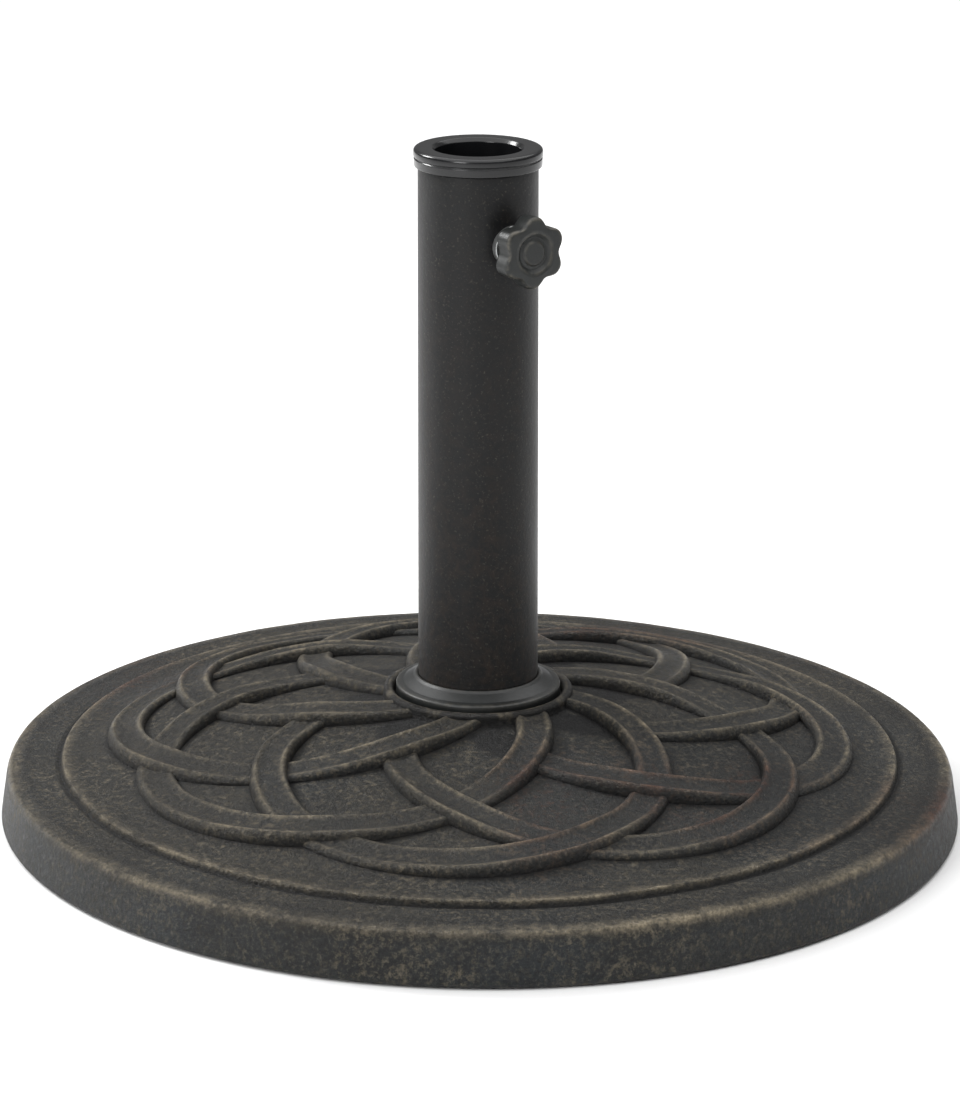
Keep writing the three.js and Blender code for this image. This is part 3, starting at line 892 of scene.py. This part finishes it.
def build_knob(tube):
    """The star knob: a turned shape whose radius swings with the cosine of six times the angle, fully at
    its rim and not at all on the button in its face or on its hub."""
    tip, valley, face, back, hub_end, hub = 17.2, 14.0, 47.6, 37.2, 33.0, 8.5
    lobes, lobe_turn, swell_start, hole_end = 6, math.radians(-3.3), 9.2, 44.2
    hole = tube.screw + 0.25
    line = outline(
        [
            (0, face - 0.5), (5.2, face - 0.5, 0.6), (6.2, face - 1.5, 0.5), (7.6, face - 1.7, 0.5),
            (9.4, face - 0.3, 0.8), (11.0, face, 1.0), (tip, face - 0.3, 1.9), (tip - 0.1, back + 0.3, 1.5),
            (hub + 1.2, back, 0.8), (hub, back - 1.2, 0.6), (hub - 0.2, hub_end, 0.5), (hole + 0.4, hub_end),
            (hole, hub_end + 0.4), (hole, hole_end), (0, hole_end),
        ],
        closed=False, step=0.7,
    )

    def shape(r, a, z):
        swing = 0.5 - 0.5 * np.cos(lobes * (a - lobe_turn))
        swing = swing ** 1.25
        share = np.clip((r - swell_start) / (tip - swell_start), 0, 1)
        share = share * share * (3 - 2 * share)
        return r - (tip - valley) * swing * share * (r / tip), z

    def mark(r, a, z):
        edges = [(tip - 0.7, face - 0.8, 1.0, 1.0), (9.6, face - 0.3, 0.8, 0.5), (5.6, face - 0.7, 0.7, 0.5)]
        return {"rub": near_line(r, z, edges)}

    piece = lathe("knob_moulding", line, 240, shape=shape, place=clamp_place, mark=mark)
    finish = plastic_finish("moulded_knob", "knob", 0.46, 700.0, 0.10, 0.9)
    settle(piece, finish, "knob_plastic", "star_knob")


def build_screw(tube):
    """The clamp screw: a thin neck, a shoulder and a threaded length."""
    neck, neck_end, shoulder, outer = 2.5, 19.0, 21.3, 44.0
    line = outline(
        [
            (0, neck_end), (neck, neck_end, 0.3), (neck, shoulder, 0.2), (tube.screw - 1.0, shoulder),
            (tube.screw, shoulder + 1.0), (tube.screw, outer - 0.4), (tube.screw - 0.4, outer), (0, outer),
        ],
        closed=False, step=0.2,
    )
    shape = thread(tube.pitch, shoulder + 0.5, outer - 1.0, neck + 0.5)
    piece = lathe("screw_body", line, 72, shape=shape, place=clamp_place, sharp=math.radians(40))
    settle(piece, zinc_finish("zinc_plating"), "zinc_steel", "clamp_screw")


def build_pad():
    """The pressure pad: a cup on the screw's neck with a slightly crowned face."""
    face, back, radius, bore, floor = 17.0, 21.0, 4.0, 2.75, 18.75
    line = outline(
        [
            (0, face), (radius - 1.2, face + 0.1, 1.5), (radius, face + 1.0, 0.6), (radius, back, 0.3),
            (bore, back, 0.2), (bore, floor, 0.2), (0, floor),
        ],
        closed=False, step=0.6,
    )
    finish = plastic_finish("moulded_pad", "nylon", 0.5, 600.0, 0.04)
    settle(lathe("pad_moulding", line, 72, place=clamp_place), finish, "pad_nylon", "pressure_pad")


# ---------------------------------------------------------------------------------------------
# Stage
# ---------------------------------------------------------------------------------------------
def soft_box(name, spot, aim, across, power):
    """A rectangular area light, its two sides in metres, turned from its spot towards the aim."""
    light = bpy.data.lights.new(name, "AREA")
    light.shape = "RECTANGLE"
    light.size, light.size_y = across
    light.energy = power
    lamp = bpy.data.objects.new(name, light)
    bpy.context.scene.collection.objects.link(lamp)
    lamp.location = spot
    lamp.rotation_euler = (Vector(aim) - Vector(spot)).to_track_quat("-Z", "Y").to_euler()


def build_stage():
    """A pale floor, three soft lights, and a camera whose view is off its lens's centre."""
    scene = bpy.context.scene
    half = 7.0
    corners = [(-half, -half, 0), (half, -half, 0), (half, half, 0), (-half, half, 0)]
    mesh = bpy.data.meshes.new("studio_floor")
    mesh.from_pydata(corners, [], [(0, 1, 2, 3)])
    floor = bpy.data.objects.new("studio_floor", mesh)
    scene.collection.objects.link(floor)
    mesh.materials.append(floor_finish("studio_floor"))

    world = bpy.data.worlds.new("studio")
    world.use_nodes = True
    world.node_tree.nodes["Background"].inputs["Color"].default_value = (1.0, 1.0, 1.0, 1.0)
    world.node_tree.nodes["Background"].inputs["Strength"].default_value = 0.22
    scene.world = world
    aim = (0, 0, 0.12)
    soft_box("overhead", (0, 0, 3.4), (0, 0, 0), (8.0, 8.0), 330.0)
    soft_box("key", (-1.5, 0.7, 1.25), aim, (0.6, 0.6), 26.0)
    soft_box("front_left", (-1.0, -1.6, 0.9), aim, (0.7, 0.7), 12.0)

    camera = bpy.data.cameras.new("camera")
    camera.sensor_width = 36.0
    camera.lens = 147.19
    camera.shift_x, camera.shift_y = 0.1442, -0.6065
    eye = bpy.data.objects.new("camera", camera)
    scene.collection.objects.link(eye)
    eye.location = (0.0, -2.0985, 0.7667)
    turn, pitch, roll = math.radians(2.02), math.radians(8.6), math.radians(-0.29)
    level = Matrix.Rotation(turn, 3, "Z") @ Matrix.Rotation(math.pi / 2 - pitch, 3, "X")
    eye.rotation_euler = (level @ Matrix.Rotation(roll, 3, "Z")).to_euler()
    scene.camera = eye
    scene.view_settings.view_transform = "Standard"


# ---------------------------------------------------------------------------------------------
# Operators and panel
# ---------------------------------------------------------------------------------------------
class PARASOL_OT_slab(bpy.types.Operator):
    """Make the cast slab"""

    bl_idname = "parasol.slab"
    bl_label = "Slab"

    def execute(self, context):
        build_slab()
        return {"FINISHED"}


class PARASOL_OT_relief(bpy.types.Operator):
    """Make the interlaced bands of the slab's relief"""

    bl_idname = "parasol.relief"
    bl_label = "Relief"

    def execute(self, context):
        slab, rings = sizes(context.scene.parasol_slab), sizes(context.scene.parasol_rings)
        for number in range(rings.count):
            build_band(number, rings, slab)
        return {"FINISHED"}


class PARASOL_OT_feet(bpy.types.Operator):
    """Make the rubber feet"""

    bl_idname = "parasol.feet"
    bl_label = "Feet"

    def execute(self, context):
        feet = [node for node in BODY_OF if node.startswith("rubber_foot_")]
        for number in range(1, len(feet) + 1):
            build_foot(number)
        return {"FINISHED"}


class PARASOL_OT_tube(bpy.types.Operator):
    """Make the tube with its foot plate, nut, bolt and washers"""

    bl_idname = "parasol.tube"
    bl_label = "Tube and fixing"

    def execute(self, context):
        tube = sizes(context.scene.parasol_tube)
        build_tube(tube)
        build_plate(tube)
        build_nut(tube)
        build_bolt(tube)
        build_washers(tube)
        return {"FINISHED"}


class PARASOL_OT_cover(bpy.types.Operator):
    """Make the cover ring round the tube's foot"""

    bl_idname = "parasol.cover"
    bl_label = "Cover ring"

    def execute(self, context):
        build_cover()
        return {"FINISHED"}


class PARASOL_OT_collar(bpy.types.Operator):
    """Make the collar in the tube's end"""

    bl_idname = "parasol.collar"
    bl_label = "Collar"

    def execute(self, context):
        build_collar(sizes(context.scene.parasol_tube))
        return {"FINISHED"}


class PARASOL_OT_clamp(bpy.types.Operator):
    """Make the insert, screw, knob and pressure pad"""

    bl_idname = "parasol.clamp"
    bl_label = "Clamp"

    def execute(self, context):
        tube = sizes(context.scene.parasol_tube)
        build_insert(tube)
        build_knob(tube)
        build_screw(tube)
        build_pad()
        return {"FINISHED"}


class PARASOL_OT_stage(bpy.types.Operator):
    """Make the floor, the lights and the camera"""

    bl_idname = "parasol.stage"
    bl_label = "Stage"

    def execute(self, context):
        build_stage()
        return {"FINISHED"}


OPERATORS = (
    PARASOL_OT_stage,
    PARASOL_OT_slab,
    PARASOL_OT_relief,
    PARASOL_OT_feet,
    PARASOL_OT_tube,
    PARASOL_OT_cover,
    PARASOL_OT_collar,
    PARASOL_OT_clamp,
)


class PARASOL_PT_panel(bpy.types.Panel):
    """The steps of the parasol base, in order"""

    bl_idname = "PARASOL_PT_panel"
    bl_label = "Parasol Base"
    bl_space_type = "VIEW_3D"
    bl_region_type = "UI"
    bl_category = "Parasol Base"

    def draw(self, context):
        for step in OPERATORS:
            self.layout.operator(step.bl_idname)


GROUPS = {
    "parasol_slab": SlabSizes,
    "parasol_rings": RingSizes,
    "parasol_tube": TubeSizes,
    "parasol_finishes": Finishes,
}


def register():
    for group in GROUPS.values():
        bpy.utils.register_class(group)
    for name, group in GROUPS.items():
        setattr(bpy.types.Scene, name, PointerProperty(type=group))
    for step in OPERATORS:
        bpy.utils.register_class(step)
    bpy.utils.register_class(PARASOL_PT_panel)


def unregister():
    bpy.utils.unregister_class(PARASOL_PT_panel)
    for step in reversed(OPERATORS):
        bpy.utils.unregister_class(step)
    for name in GROUPS:
        delattr(bpy.types.Scene, name)
    for group in reversed(GROUPS.values()):
        bpy.utils.unregister_class(group)


def main():
    register()
    for step in OPERATORS:
        getattr(bpy.ops.parasol, step.bl_idname.split(".")[1])()


if __name__ == "__main__":
    main()
